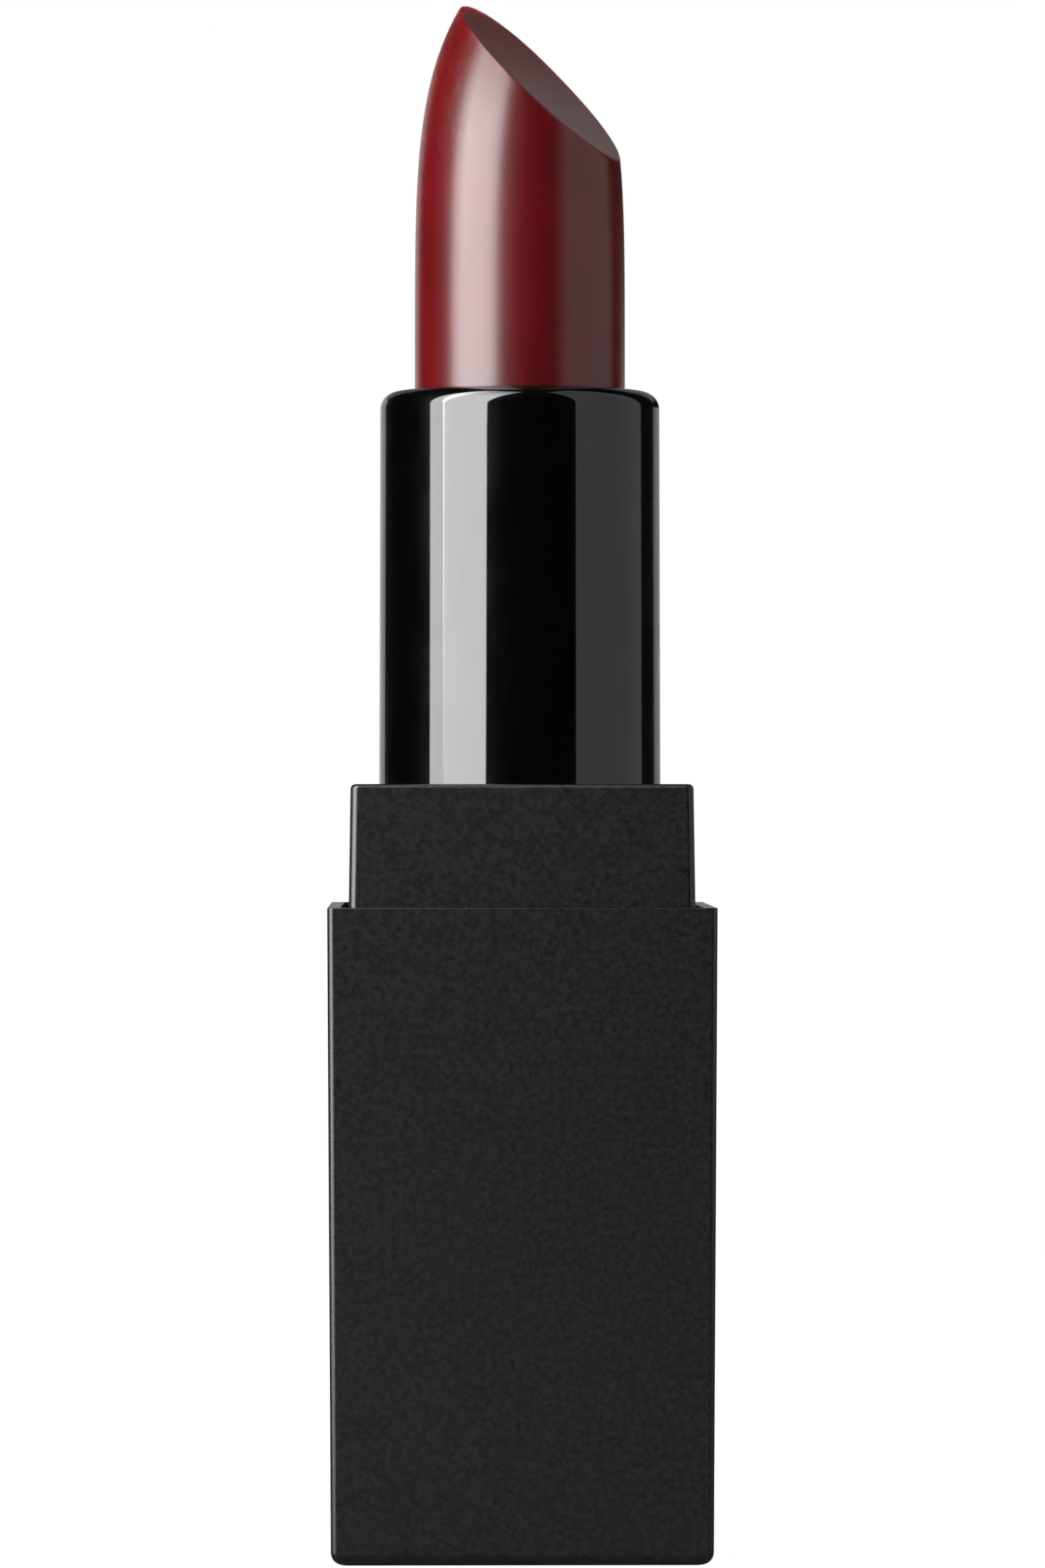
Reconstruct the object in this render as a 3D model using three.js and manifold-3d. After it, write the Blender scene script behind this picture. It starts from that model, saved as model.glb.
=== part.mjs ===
// A square lipstick case with its twist-up mechanism: millimetres, +Z up, origin at the centre of the foot.
// The shell, the collar insert and the slotted guide tube stand still. The outer tube turns with the spiral
// sleeve inside it, and the two lugs of the bullet's cup climb the helical slots.
import * as THREE from "three";
import { mergeVertices } from "three/addons/utils/BufferGeometryUtils.js";
import Module from "manifold-3d";

const wasm = await Module();
wasm.setup();

// ---- Driving dimensions -------------------------------------------------------------------------

const SHELL = {
  height: 36.9, footWidth: 21.5, rimWidth: 21.9, wall: 0.75, floor: 1.6,
  edge: 0.35, insideEdge: 0.3, footEdge: 0.78,
};
const LABEL = { radius: 7.6, thickness: 0.15, recess: 0.35, play: 0.12 };
const WEIGHT = { radius: 8.2, bore: 2.2, height: 8.5, bevel: 0.5 };
const COLLAR = { top: 43.85, rimWidth: 19.5, topWidth: 19.3, edge: 0.45, topEdge: 0.28, groove: 2.1 };
const INSERT = {
  bottom: 10.4, play: 0.06, boreRadius: 8.28, boreFloor: 27.2, socketRadius: 7.25, wellRadius: 5.6,
};
const POCKET = { wall: 1.1, barrelRadius: 9.3, roof: 1.3 };
const TUBE = {
  bottom: 28.2, top: 66.37, footRadius: 8.125, topRadius: 8.025, bore: 7.47,
  mouth: 6.28, mouthEdge: 0.2, lip: 1, lipUnder: 65.1,
};
const RING_SEAT = { bore: 7.7, top: 30.4 };
const SPIRAL = { bottom: 30.6, top: 64.6, outer: 7.4, inner: 6.99, slot: 0.95 };
const GUIDE = {
  bottom: 20.6, top: 64.85, outer: 6.92, inner: 6.47, slot: 0.9, slotMargin: 1.1, foot: 7.2, flange: 7.58,
};
const RING = { section: 0.34, radius: 7.3, height: 29.2 };
const BEARING = { inner: 7.66, outer: 8.18, top: 28.1 };
const CUP = {
  bottom: 54.9, top: 64.9, outer: 6.36, inner: 6.05, floor: 0.9, edge: 0.3,
  lugHeight: 57, lug: 0.72, lugReach: 7.28,
};
const BULLET = {
  radius: 6.04, start: 66.04, top: 89.6, length: 25.85, fullness: 4.795, pull: 1.245,
  narrowing: 1.15, softness: 0.16,
};
const SLANT = { height: 85.4, steepness: 44.9, turn: 19.5 };
const LIFT = { travel: 24, pitch: 16 };

const FACETS = 64;
const DEG = Math.PI / 180;
const OVER = 1; // how far a cutting solid runs past the face it cuts

// ---- Materials ----------------------------------------------------------------------------------

const finish = (color, roughness, metalness) =>
  new THREE.MeshStandardMaterial({ color, roughness, metalness });
const softTouchBlack = () => finish(0x1d1d1d, 0.62, 0);
const glossBlack = () => finish(0x080808, 0.08, 0);
const milkyPlastic = () => finish(0xd8d8d4, 0.4, 0);
const blackPlastic = () => finish(0x161616, 0.4, 0);
const rubber = () => finish(0x121212, 0.8, 0);
const steel = () => finish(0x8f9194, 0.35, 1);
const paper = () => finish(0xb9b6af, 0.85, 0);
const darkRedWax = () => finish(0x5a0d12, 0.3, 0);

// ---- Solids -------------------------------------------------------------------------------------

function solid(geometry) {
  const bare = geometry.clone();
  bare.deleteAttribute("normal");
  bare.deleteAttribute("uv");
  const merged = mergeVertices(bare, 1e-4);
  const triVerts = new Uint32Array(merged.index.array);
  const vertProperties = new Float32Array(merged.attributes.position.array);
  return new wasm.Manifold(new wasm.Mesh({ numProp: 3, vertProperties, triVerts }));
}

function geometryOf(body) {
  const { vertProperties, triVerts } = body.getMesh();
  return new THREE.BufferGeometry()
    .setAttribute("position", new THREE.BufferAttribute(new Float32Array(vertProperties), 3))
    .setIndex(new THREE.BufferAttribute(new Uint32Array(triVerts), 1));
}

function piece(name, body, material) {
  const mesh = new THREE.Mesh(geometryOf(body), material);
  mesh.name = name;
  return mesh;
}

// A solid of revolution about Z from [radius, height] points that run counter-clockwise: out, up and back in.
function turned(points, facets = FACETS) {
  const profile = points.map(([radius, height]) => new THREE.Vector2(radius, height));
  return solid(new THREE.LatheGeometry(profile, facets).rotateX(Math.PI / 2));
}

// A ring of rectangular section.
const ring = (inner, outer, bottom, top, facets = FACETS) =>
  turned([[inner, bottom], [outer, bottom], [outer, top], [inner, top], [inner, bottom]], facets);

// A plain round bar.
const bar = (radius, bottom, top, facets = FACETS) =>
  turned([[0, bottom], [radius, bottom], [radius, top], [0, top]], facets);

// [radius, height] points of a quarter circle about a centre, from one angle to another, in degrees.
function arc(radius, height, size, from, to, steps = 5) {
  return Array.from({ length: steps + 1 }, (_, i) => {
    const angle = (from + ((to - from) * i) / steps) * DEG;
    return [radius + size * Math.cos(angle), height + size * Math.sin(angle)];
  });
}

function roundedSquare(width, corner) {
  const half = width / 2;
  const flat = half - corner;
  const shape = new THREE.Shape();
  shape.moveTo(-flat, -half);
  shape.lineTo(flat, -half);
  shape.absarc(flat, -flat, corner, -Math.PI / 2, 0, false);
  shape.lineTo(half, flat);
  shape.absarc(flat, flat, corner, 0, Math.PI / 2, false);
  shape.lineTo(-flat, half);
  shape.absarc(-flat, flat, corner, Math.PI / 2, Math.PI, false);
  shape.lineTo(-half, -flat);
  shape.absarc(-flat, -flat, corner, Math.PI, Math.PI * 1.5, false);
  return shape;
}

// A solid from rows of points, one outline above the other with the same count, closed flat at both ends.
function stacked(rows) {
  const count = rows[0].length;
  const indices = [];
  for (let row = 0; row + 1 < rows.length; row++) {
    for (let i = 0; i < count; i++) {
      const next = (i + 1) % count;
      const [a, b] = [row * count + i, row * count + next];
      indices.push(a, b, b + count, a, b + count, a + count);
    }
  }
  const last = (rows.length - 1) * count;
  for (let i = 1; i + 1 < count; i++) {
    indices.push(0, i + 1, i);
    indices.push(last, last + i, last + i + 1);
  }
  const geometry = new THREE.BufferGeometry().setFromPoints(rows.flat());
  geometry.setIndex(indices);
  return solid(geometry);
}

// A square post whose width follows the height: sections is a list of [height, width, corner radius].
function squarePost(sections, cornerSteps = 4) {
  const rows = sections.map(([height, width, corner]) => {
    const outline = roundedSquare(width, corner).getPoints(cornerSteps);
    const distinct = outline.filter((p, i) => i === 0 || p.distanceTo(outline[i - 1]) > 1e-6);
    return distinct.map((p) => new THREE.Vector3(p.x, p.y, height));
  });
  return stacked(rows);
}

// ---- The fixed base -----------------------------------------------------------------------------

const shellWidth = (height) =>
  SHELL.footWidth + ((SHELL.rimWidth - SHELL.footWidth) * height) / SHELL.height;
const cavityWidth = (height) => shellWidth(height) - 2 * SHELL.wall;

// The rolled lower edge of the shell: sections that follow a quarter circle up from the foot.
function rolledFoot(steps = 5) {
  return Array.from({ length: steps + 1 }, (_, i) => {
    const angle = (i / steps) * 90 * DEG;
    const height = SHELL.footEdge * (1 - Math.cos(angle));
    const inset = SHELL.footEdge * (1 - Math.sin(angle));
    return [height, shellWidth(height) - 2 * inset, SHELL.edge];
  });
}

function baseShell() {
  const outside = squarePost([...rolledFoot(), [SHELL.height, SHELL.rimWidth, SHELL.edge]]);
  const inside = squarePost([
    [SHELL.floor, cavityWidth(SHELL.floor), SHELL.insideEdge],
    [SHELL.height + OVER, cavityWidth(SHELL.height + OVER), SHELL.insideEdge],
  ]);
  const labelRecess = bar(LABEL.radius + LABEL.play, -OVER, LABEL.recess);
  return outside.subtract(inside).subtract(labelRecess);
}

function bottomLabel() {
  return bar(LABEL.radius, LABEL.recess - LABEL.thickness, LABEL.recess);
}

function baseWeight() {
  const { radius, bore, height, bevel } = WEIGHT;
  const bottom = SHELL.floor;
  const top = bottom + height;
  return turned([
    [bore, bottom], [radius - bevel, bottom], [radius, bottom + bevel],
    [radius, top - bevel], [radius - bevel, top], [bore, top], [bore, bottom],
  ], 48);
}

const collarWidth = (height) => {
  const fall = (COLLAR.rimWidth - COLLAR.topWidth) / (COLLAR.top - SHELL.height);
  return COLLAR.rimWidth - fall * (height - SHELL.height);
};

// The rounded upper edge of the collar: sections that follow a quarter circle in to the top face.
function roundedCollarTop(steps = 3) {
  return Array.from({ length: steps + 1 }, (_, i) => {
    const angle = (i / steps) * 90 * DEG;
    const height = COLLAR.top - COLLAR.topEdge * (1 - Math.sin(angle));
    const inset = COLLAR.topEdge * (1 - Math.cos(angle));
    return [height, collarWidth(height) - 2 * inset, COLLAR.edge];
  });
}

function collarInsert() {
  const shoulder = SHELL.height - COLLAR.groove;
  const bodyWidth = (height) => cavityWidth(height) - 2 * INSERT.play;
  const body = squarePost([
    [INSERT.bottom, bodyWidth(INSERT.bottom), COLLAR.edge],
    [shoulder, bodyWidth(shoulder), COLLAR.edge],
    [shoulder, collarWidth(shoulder), COLLAR.edge],
    ...roundedCollarTop(),
  ]);
  const bore = bar(INSERT.boreRadius, INSERT.boreFloor, COLLAR.top + OVER);
  const socket = bar(INSERT.socketRadius, GUIDE.bottom, INSERT.boreFloor + OVER);
  const well = bar(INSERT.wellRadius, INSERT.bottom - OVER, GUIDE.bottom + OVER);
  return body.subtract(bore).subtract(socket).subtract(well).subtract(cornerPockets());
}

// Four pockets, open from below, that leave a thin square wall joined to the round barrel at its sides.
function cornerPockets() {
  const low = INSERT.bottom - OVER;
  const high = COLLAR.top - POCKET.roof;
  const width = COLLAR.topWidth - 2 * POCKET.wall;
  const square = squarePost([[low, width, COLLAR.edge], [high, width, COLLAR.edge]]);
  return square.subtract(bar(POCKET.barrelRadius, low - OVER, high + OVER));
}

// Two straight slots on opposite sides let the cup's lugs through. The foot is pressed into the insert's
// socket.
function innerBody() {
  const { bottom, top, outer, inner, foot, flange, slot, slotMargin } = GUIDE;
  const ringSeat = RING.height - RING.section;
  const body = turned([
    [inner, bottom], [foot, bottom], [foot, INSERT.boreFloor], [flange, INSERT.boreFloor],
    [flange, ringSeat], [outer, ringSeat], [outer, top], [inner, top], [inner, bottom],
  ]);
  const low = CUP.lugHeight - LIFT.travel - slotMargin;
  const high = CUP.lugHeight + slotMargin;
  const slots = new THREE.BoxGeometry(4 * outer, 2 * slot, high - low);
  return body.subtract(solid(slots.translate(0, 0, (high + low) / 2)));
}

function dragRing() {
  const { section, radius, height } = RING;
  const outline = arc(radius, height, section, 0, 360, 12);
  outline[outline.length - 1] = outline[0];
  return turned(outline, 48);
}

const tubeBearing = () => ring(BEARING.inner, BEARING.outer, INSERT.boreFloor, BEARING.top, 48);

// ---- The turning sleeve -------------------------------------------------------------------------

function outerTube() {
  const { bottom, top, footRadius, topRadius, bore, mouth, mouthEdge, lip, lipUnder } = TUBE;
  return turned([
    [RING_SEAT.bore, bottom], [footRadius, bottom],
    ...arc(topRadius - lip, top - lip, lip, 0, 90, 6),
    ...arc(mouth + mouthEdge, top - mouthEdge, mouthEdge, 90, 180, 3),
    [mouth, lipUnder], [bore, lipUnder], [bore, RING_SEAT.top], [RING_SEAT.bore, RING_SEAT.top],
    [RING_SEAT.bore, bottom],
  ]);
}

// The centre line of a helical slot: it falls as it runs round with the sleeve's turning.
class SlotHelix extends THREE.Curve {
  constructor(radius, startAngle) {
    super();
    this.radius = radius;
    this.startAngle = startAngle;
    this.turns = LIFT.travel / LIFT.pitch;
  }

  getPoint(t, target = new THREE.Vector3()) {
    const runOut = 0.01;
    const along = -runOut + t * (1 + 2 * runOut);
    const angle = this.startAngle + along * this.turns * 2 * Math.PI;
    const height = CUP.lugHeight - along * LIFT.travel;
    return target.set(this.radius * Math.cos(angle), this.radius * Math.sin(angle), height);
  }
}

function helicalCutter(startAngle) {
  const section = new THREE.Shape().absarc(0, 0, SPIRAL.slot, 0, 2 * Math.PI, false);
  const path = new SlotHelix((SPIRAL.outer + SPIRAL.inner) / 2, startAngle);
  const steps = 54;
  const curveSegments = 4;
  const options = { extrudePath: path, steps, curveSegments, bevelEnabled: false };
  return solid(new THREE.ExtrudeGeometry(section, options));
}

function spiralSleeve() {
  const body = ring(SPIRAL.inner, SPIRAL.outer, SPIRAL.bottom, SPIRAL.top);
  return body.subtract(helicalCutter(0)).subtract(helicalCutter(Math.PI));
}

// ---- The lifting carrier ------------------------------------------------------------------------

function bulletCup() {
  const { bottom, top, outer, inner, floor, edge, lug, lugHeight, lugReach } = CUP;
  const cup = turned([
    [0, bottom], [outer - edge, bottom], [outer, bottom + edge], [outer, top],
    [inner, top], [inner, bottom + floor], [0, bottom + floor],
  ]);
  const pin = new THREE.CylinderGeometry(lug, lug, 2 * lugReach, 16).rotateZ(Math.PI / 2);
  const hollow = bar(inner, bottom + floor, top + OVER);
  return cup.add(solid(pin.translate(0, 0, lugHeight)).subtract(hollow));
}

// How far the stick reaches from its axis. It is round below. Above its start its left side closes, as the
// round section shifts to the right, and its right side narrows a little.
function stickReach(azimuth, height) {
  const { radius, start, length, fullness, pull, narrowing, softness } = BULLET;
  const rise = Math.max(0, (height - start) / length);
  const shift = radius * (1 - Math.pow(1 - Math.pow(rise, fullness), 1 / pull));
  const chord = Math.sqrt(radius ** 2 - (shift * Math.sin(azimuth)) ** 2);
  const left = radius - shift * Math.cos(azimuth) - chord;
  const right = narrowing * shift * Math.max(0, Math.cos(azimuth)) ** 6;
  return radius - (left + right + Math.hypot(left - right, softness * shift)) / 2;
}

function stickRow(height) {
  return Array.from({ length: FACETS }, (_, i) => {
    const azimuth = (i / FACETS) * 2 * Math.PI;
    const reach = stickReach(azimuth, height);
    return new THREE.Vector3(reach * Math.cos(azimuth), reach * Math.sin(azimuth), height);
  });
}

function bullet() {
  const steps = 24;
  const heights = Array.from({ length: steps + 1 }, (_, i) => {
    const share = Math.sin((i / steps) * 90 * DEG);
    return BULLET.start + (BULLET.top - BULLET.start) * share;
  });
  const stick = stacked([CUP.bottom + CUP.floor, ...heights].map(stickRow));
  const size = 40;
  const knife = new THREE.BoxGeometry(size, size, size)
    .translate(0, 0, size / 2)
    .rotateY(SLANT.steepness * DEG)
    .rotateZ(-SLANT.turn * DEG)
    .translate(0, 0, SLANT.height);
  return stick.subtract(solid(knife));
}

// ---- The assembly -------------------------------------------------------------------------------

const lipstickCase = new THREE.Group();
lipstickCase.add(
  piece("base_shell", baseShell(), softTouchBlack()),
  piece("bottom_label", bottomLabel(), paper()),
  piece("base_weight", baseWeight(), steel()),
  piece("collar_insert", collarInsert(), softTouchBlack()),
  piece("inner_body", innerBody(), milkyPlastic()),
  piece("drag_ring", dragRing(), rubber()),
  piece("tube_bearing", tubeBearing(), milkyPlastic()),
  piece("outer_tube", outerTube(), glossBlack()),
  piece("spiral_sleeve", spiralSleeve(), blackPlastic()),
  piece("bullet_cup", bulletCup(), milkyPlastic()),
  piece("bullet", bullet(), darkRedWax()),
);

export default lipstickCase;
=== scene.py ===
"""The visible pieces, finishes and studio of a square twist-up lipstick case, laid out as an add-on."""
import math
from itertools import pairwise

import bmesh
import bpy
from bpy.props import FloatProperty, FloatVectorProperty, PointerProperty
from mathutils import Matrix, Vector


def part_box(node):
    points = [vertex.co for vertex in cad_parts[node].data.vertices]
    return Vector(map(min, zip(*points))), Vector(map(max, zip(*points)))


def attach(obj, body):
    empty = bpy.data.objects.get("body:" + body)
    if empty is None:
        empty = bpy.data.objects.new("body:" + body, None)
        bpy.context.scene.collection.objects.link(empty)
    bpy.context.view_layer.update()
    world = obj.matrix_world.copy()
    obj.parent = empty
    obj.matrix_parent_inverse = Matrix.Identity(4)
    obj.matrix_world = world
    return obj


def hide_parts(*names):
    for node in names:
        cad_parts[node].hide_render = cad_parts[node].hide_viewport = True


bl_info = {
    "name": "Lipstick Case",
    "version": (1, 0, 0),
    "blender": (4, 5, 0),
    "location": "View3D > Sidebar > Lipstick Case",
    "description": "Models the pieces, finishes and studio of a square twist-up lipstick case",
    "category": "Object",
}

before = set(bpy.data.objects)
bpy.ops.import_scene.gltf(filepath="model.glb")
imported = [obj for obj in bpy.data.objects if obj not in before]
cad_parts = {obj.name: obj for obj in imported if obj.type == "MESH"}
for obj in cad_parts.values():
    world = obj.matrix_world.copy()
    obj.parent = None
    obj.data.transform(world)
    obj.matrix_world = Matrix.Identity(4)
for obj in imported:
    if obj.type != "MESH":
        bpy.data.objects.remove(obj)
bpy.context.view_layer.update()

MM = 0.001
PER_MM = 1000.0


# ---- Sizes and colours that a user would change --------------------------------------------------


def length(name, description, millimetres):
    """A length property, given in millimetres."""
    return FloatProperty(name=name, description=description, default=millimetres * MM, unit="LENGTH")


def colour(name, description, value):
    """A linear colour property."""
    return FloatVectorProperty(name=name, description=description, default=value, subtype="COLOR", size=3)


class CaseSizes(bpy.types.PropertyGroup):
    """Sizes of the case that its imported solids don't state on their own."""

    shell_wall: length("Shell wall", "Thickness of the outer shell", 0.75)
    shell_floor: length("Shell floor", "Thickness of the shell under the weight", 1.6)
    shell_draft: length("Shell draft", "How much narrower the foot is than the rim", 0.4)
    shell_corner: length("Shell corner", "Radius of the shell's upright edges", 0.36)
    foot_roll: length("Foot roll", "Radius of the rolled edge around the foot", 0.78)
    rim_break: length("Rim break", "Radius that breaks the rim's sharp edges", 0.05)
    recess_depth: length("Recess depth", "Depth of the round recess for the label", 0.35)
    collar_width: length("Collar width", "Width of the collar at the shell's rim", 19.5)
    collar_draft: length("Collar draft", "How much narrower the collar is at its top", 0.2)
    collar_corner: length("Collar corner", "Radius of the collar's upright edges", 0.46)
    collar_top_roll: length("Collar top roll", "Radius around the collar's top face", 0.28)
    groove_depth: length("Groove depth", "Depth of the groove around the collar", 2.1)
    tube_draft: length("Tube draft", "How much the tube's radius falls towards its mouth", 0.1)
    tube_lip: length("Tube lip", "Radius of the rounding around the tube's mouth", 1.0)
    tube_mouth: length("Tube mouth", "Radius of the opening the stick comes out of", 6.28)
    tube_bore: length("Tube bore", "Radius of the bore that holds the spiral sleeve", 7.47)
    ring_seat: length("Ring seat", "Radius of the counterbore over the drag ring", 7.7)
    ring_seat_height: length("Ring seat height", "Height of that counterbore", 2.2)
    collar_bore: length("Collar bore", "Radius of the bore that the tube turns in", 8.28)
    socket: length("Socket", "Radius of the socket that grips the guide tube's foot", 7.25)
    well: length("Well", "Radius of the well below the guide tube", 5.6)
    pocket_wall: length("Pocket wall", "Thickness of the square wall around the corner pockets", 1.1)
    pocket_barrel: length("Pocket barrel", "Radius of the round barrel inside the corner pockets", 9.3)
    pocket_roof: length("Pocket roof", "Thickness of the collar's top over the corner pockets", 1.3)
    stick_radius: length("Stick radius", "Radius of the stick below its point", 6.04)
    stick_start: length("Stick start", "Height at which the stick starts to close", 66.04)
    stick_length: length("Stick length", "Height from there to the uncut point", 25.85)
    slant_height: length("Slant height", "Height of the slanted cut on the axis", 85.4)
    slant_steepness: FloatProperty(
        name="Slant steepness", description="Angle of the cut from level",
        default=math.radians(44.9), subtype="ANGLE")
    slant_turn: FloatProperty(
        name="Slant turn", description="How far the cut's fall is turned from +X to -Y",
        default=math.radians(19.5), subtype="ANGLE")
    slant_edge: length("Slant edge", "How far the rounding reaches from the cut's edge", 0.06)
    slant_heel: length("Slant heel", "How much further it reaches at the cut's lowest point", 0.15)
    slant_tip: length("Slant tip", "How much further it reaches at the cut's highest point", 0.08)
    slant_hollow: length("Slant hollow", "How far the middle of the cut face lies below its edge", 0.05)
    stick_fullness: FloatProperty(
        name="Stick fullness", description="How long the stick stays wide before it closes", default=4.795)
    stick_pull: FloatProperty(
        name="Stick pull", description="How pointed the stick is where it closes", default=1.245)
    stick_narrowing: FloatProperty(
        name="Stick narrowing", description="How much the right side closes for the left side's closing",
        default=1.15)
    stick_softness: FloatProperty(
        name="Stick softness", description="How softly the closing sides run into each other", default=0.16)


class CaseColours(bpy.types.PropertyGroup):
    """Base colours of the finishes."""

    soft_touch: colour("Soft touch", "Matte black of the shell and the collar", (0.002, 0.002, 0.002))
    gloss: colour("Gloss", "Polished black of the turning tube", (0.0003, 0.0001, 0.0001))
    wax: colour("Wax", "Dark red of the stick", (0.054, 0.0004, 0.0012))
    natural: colour("Natural plastic", "Milky plastic of the mechanism", (0.60, 0.59, 0.55))
    sleeve: colour("Sleeve plastic", "Black plastic of the spiral sleeve", (0.018, 0.018, 0.019))
    rubber: colour("Rubber", "Black rubber of the drag ring", (0.010, 0.010, 0.010))
    steel: colour("Steel", "Zinc-coated steel of the weight", (0.46, 0.47, 0.48))
    film: colour("Film", "Blank film of the bottom label", (0.012, 0.012, 0.012))


class StudioSettings(bpy.types.PropertyGroup):
    """The camera and the lights around the case."""

    camera_distance: length("Camera distance", "From the lens to the case's axis", 425)
    camera_height: length("Camera height", "Height of the lens above the floor", 43.85)
    camera_yaw: FloatProperty(
        name="Camera yaw", description="How far the camera stands round from -Y to -X",
        default=math.radians(0.8), subtype="ANGLE")
    lens: FloatProperty(name="Lens", description="Focal length on a 36 mm high sensor", default=169.8)
    camera_offset: length("Camera offset", "How far the lens stands to the right of the case's axis", 0.15)
    key: FloatProperty(name="Key", description="Brightness of the tall softbox", default=13.0)
    key_rim: FloatProperty(
        name="Key rim", description="Brightness of the softbox's outer strip", default=10.4)
    fill: FloatProperty(name="Fill", description="Brightness of the grey card", default=0.86)
    key_fade: FloatProperty(name="Key fade", description="Share left at the softbox's top", default=0.1)
    fill_fade: FloatProperty(name="Fill fade", description="Share left at the card's far side", default=0.6)
    lean: FloatProperty(name="Lean", description="How far the softbox leans over the case",
                        default=math.radians(26), subtype="ANGLE")
    backdrop: FloatProperty(name="Backdrop", description="Brightness straight behind the case", default=0.7)
    sky: FloatProperty(name="Sky", description="Brightness above the backdrop", default=0.2)
    left_wing: FloatProperty(name="Left wing", description="Brightness left of the backdrop", default=0.58)
    right_wing: FloatProperty(name="Right wing", description="Brightness right of the backdrop", default=0.38)
    warmth: FloatProperty(
        name="Warmth", description="Brightness of the fill that leaves no reflection", default=2.2)
    room: FloatProperty(name="Room", description="Brightness of the dark room", default=0.012)


# ---- Shader maths --------------------------------------------------------------------------------


class Wire:
    """One output of a shader's node, on which Python arithmetic lays down Math nodes."""

    def __init__(self, finish, socket):
        self.finish = finish
        self.socket = socket

    def _math(self, operation, first, second):
        return self.finish.node("ShaderNodeMath", {"operation": operation}, {0: first, 1: second})

    def __add__(self, other):
        return self._math("ADD", self, other)

    __radd__ = __add__

    def __sub__(self, other):
        return self._math("SUBTRACT", self, other)

    def __rsub__(self, other):
        return self._math("SUBTRACT", other, self)

    def __mul__(self, other):
        return self._math("MULTIPLY", self, other)

    __rmul__ = __mul__

    def __pow__(self, other):
        return self._math("POWER", self, other)

    def __abs__(self):
        return self._math("ABSOLUTE", self, 0.0)


class Finish:
    """One procedural material: its tree, its shader and the point that is being shaded."""

    def __init__(self, name, **constants):
        self.material = bpy.data.materials.new(name)
        self.material.use_nodes = True
        self.tree = self.material.node_tree
        self.shader = self.tree.nodes["Principled BSDF"]
        for socket, value in constants.items():
            self.shader.inputs[socket.replace("_", " ")].default_value = value
        self.place = self.node("ShaderNodeTexCoord", output="Object")

    def node(self, kind, settings=None, inputs=None, output=0):
        """Adds a node, sets it up, joins or fills its sockets, and returns one of its outputs."""
        made = self.tree.nodes.new(kind)
        for name, value in (settings or {}).items():
            setattr(made, name, value)
        for name, value in (inputs or {}).items():
            self._fill(made.inputs[name], value)
        return Wire(self, made.outputs[output])

    def _fill(self, socket, value):
        if isinstance(value, Wire):
            self.tree.links.new(value.socket, socket)
        elif socket.type == "RGBA" and len(value) == 3:
            socket.default_value = (*value, 1.0)
        else:
            socket.default_value = value

    def feed(self, socket, value):
        """Joins a wire, or sets a constant, on the shader itself."""
        self._fill(self.shader.inputs[socket], value)

    def noise(self, grain_mm, detail=2.0, roughness=0.5, place=None, distortion=0.0):
        """Soft noise whose blotches are about grain_mm across, from 0 to 1."""
        inputs = {"Vector": place or self.place, "Scale": PER_MM / grain_mm, "Detail": detail,
                  "Roughness": roughness, "Distortion": distortion}
        return self.node("ShaderNodeTexNoise", inputs=inputs)

    def specks(self, cell_mm, size, chance):
        """Small round dots, one at most in a cell, on a share of the cells."""
        inputs = {"Vector": self.place, "Scale": PER_MM / cell_mm}
        near = self.node("ShaderNodeTexVoronoi", inputs=inputs)
        tint = self.node("ShaderNodeTexVoronoi", inputs=inputs, output="Color")
        chosen = self.band(self.channel(tint, 0), 1 - chance, 1 - chance + 0.02)
        return self.band(near, size, size * 0.5) * chosen

    def band(self, value, low, high):
        """A smooth step from 0 at low to 1 at high."""
        inputs = {"Value": value, "From Min": low, "From Max": high}
        return self.node("ShaderNodeMapRange", {"interpolation_type": "SMOOTHSTEP"}, inputs)

    def channel(self, vector, index):
        """One part of a vector."""
        return self.node("ShaderNodeSeparateXYZ", inputs={0: vector}, output=index)

    def stretched(self, scale):
        """The shaded point with its axes scaled."""
        return self.node("ShaderNodeMapping", inputs={"Vector": self.place, "Scale": scale})

    def blend(self, first, second, factor):
        """A colour between two colours. The sockets share names, so each is taken by its place."""
        return self.node("ShaderNodeMix", {"data_type": "RGBA"}, {0: factor, 6: first, 7: second}, output=2)

    def bump(self, height, depth_mm, strength=1.0, under=None):
        """Raises the surface by a height of depth_mm, over another bump."""
        inputs = {"Height": height, "Distance": depth_mm * MM, "Strength": strength}
        if under is not None:
            inputs["Normal"] = under
        return self.node("ShaderNodeBump", inputs=inputs)


LINT = (0.05, 0.05, 0.048)
DUST = (0.05, 0.05, 0.05)


def shade(base, factor):
    """A colour made lighter or darker."""
    return tuple(channel * factor for channel in base)


# ---- Finishes ------------------------------------------------------------------------------------


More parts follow.
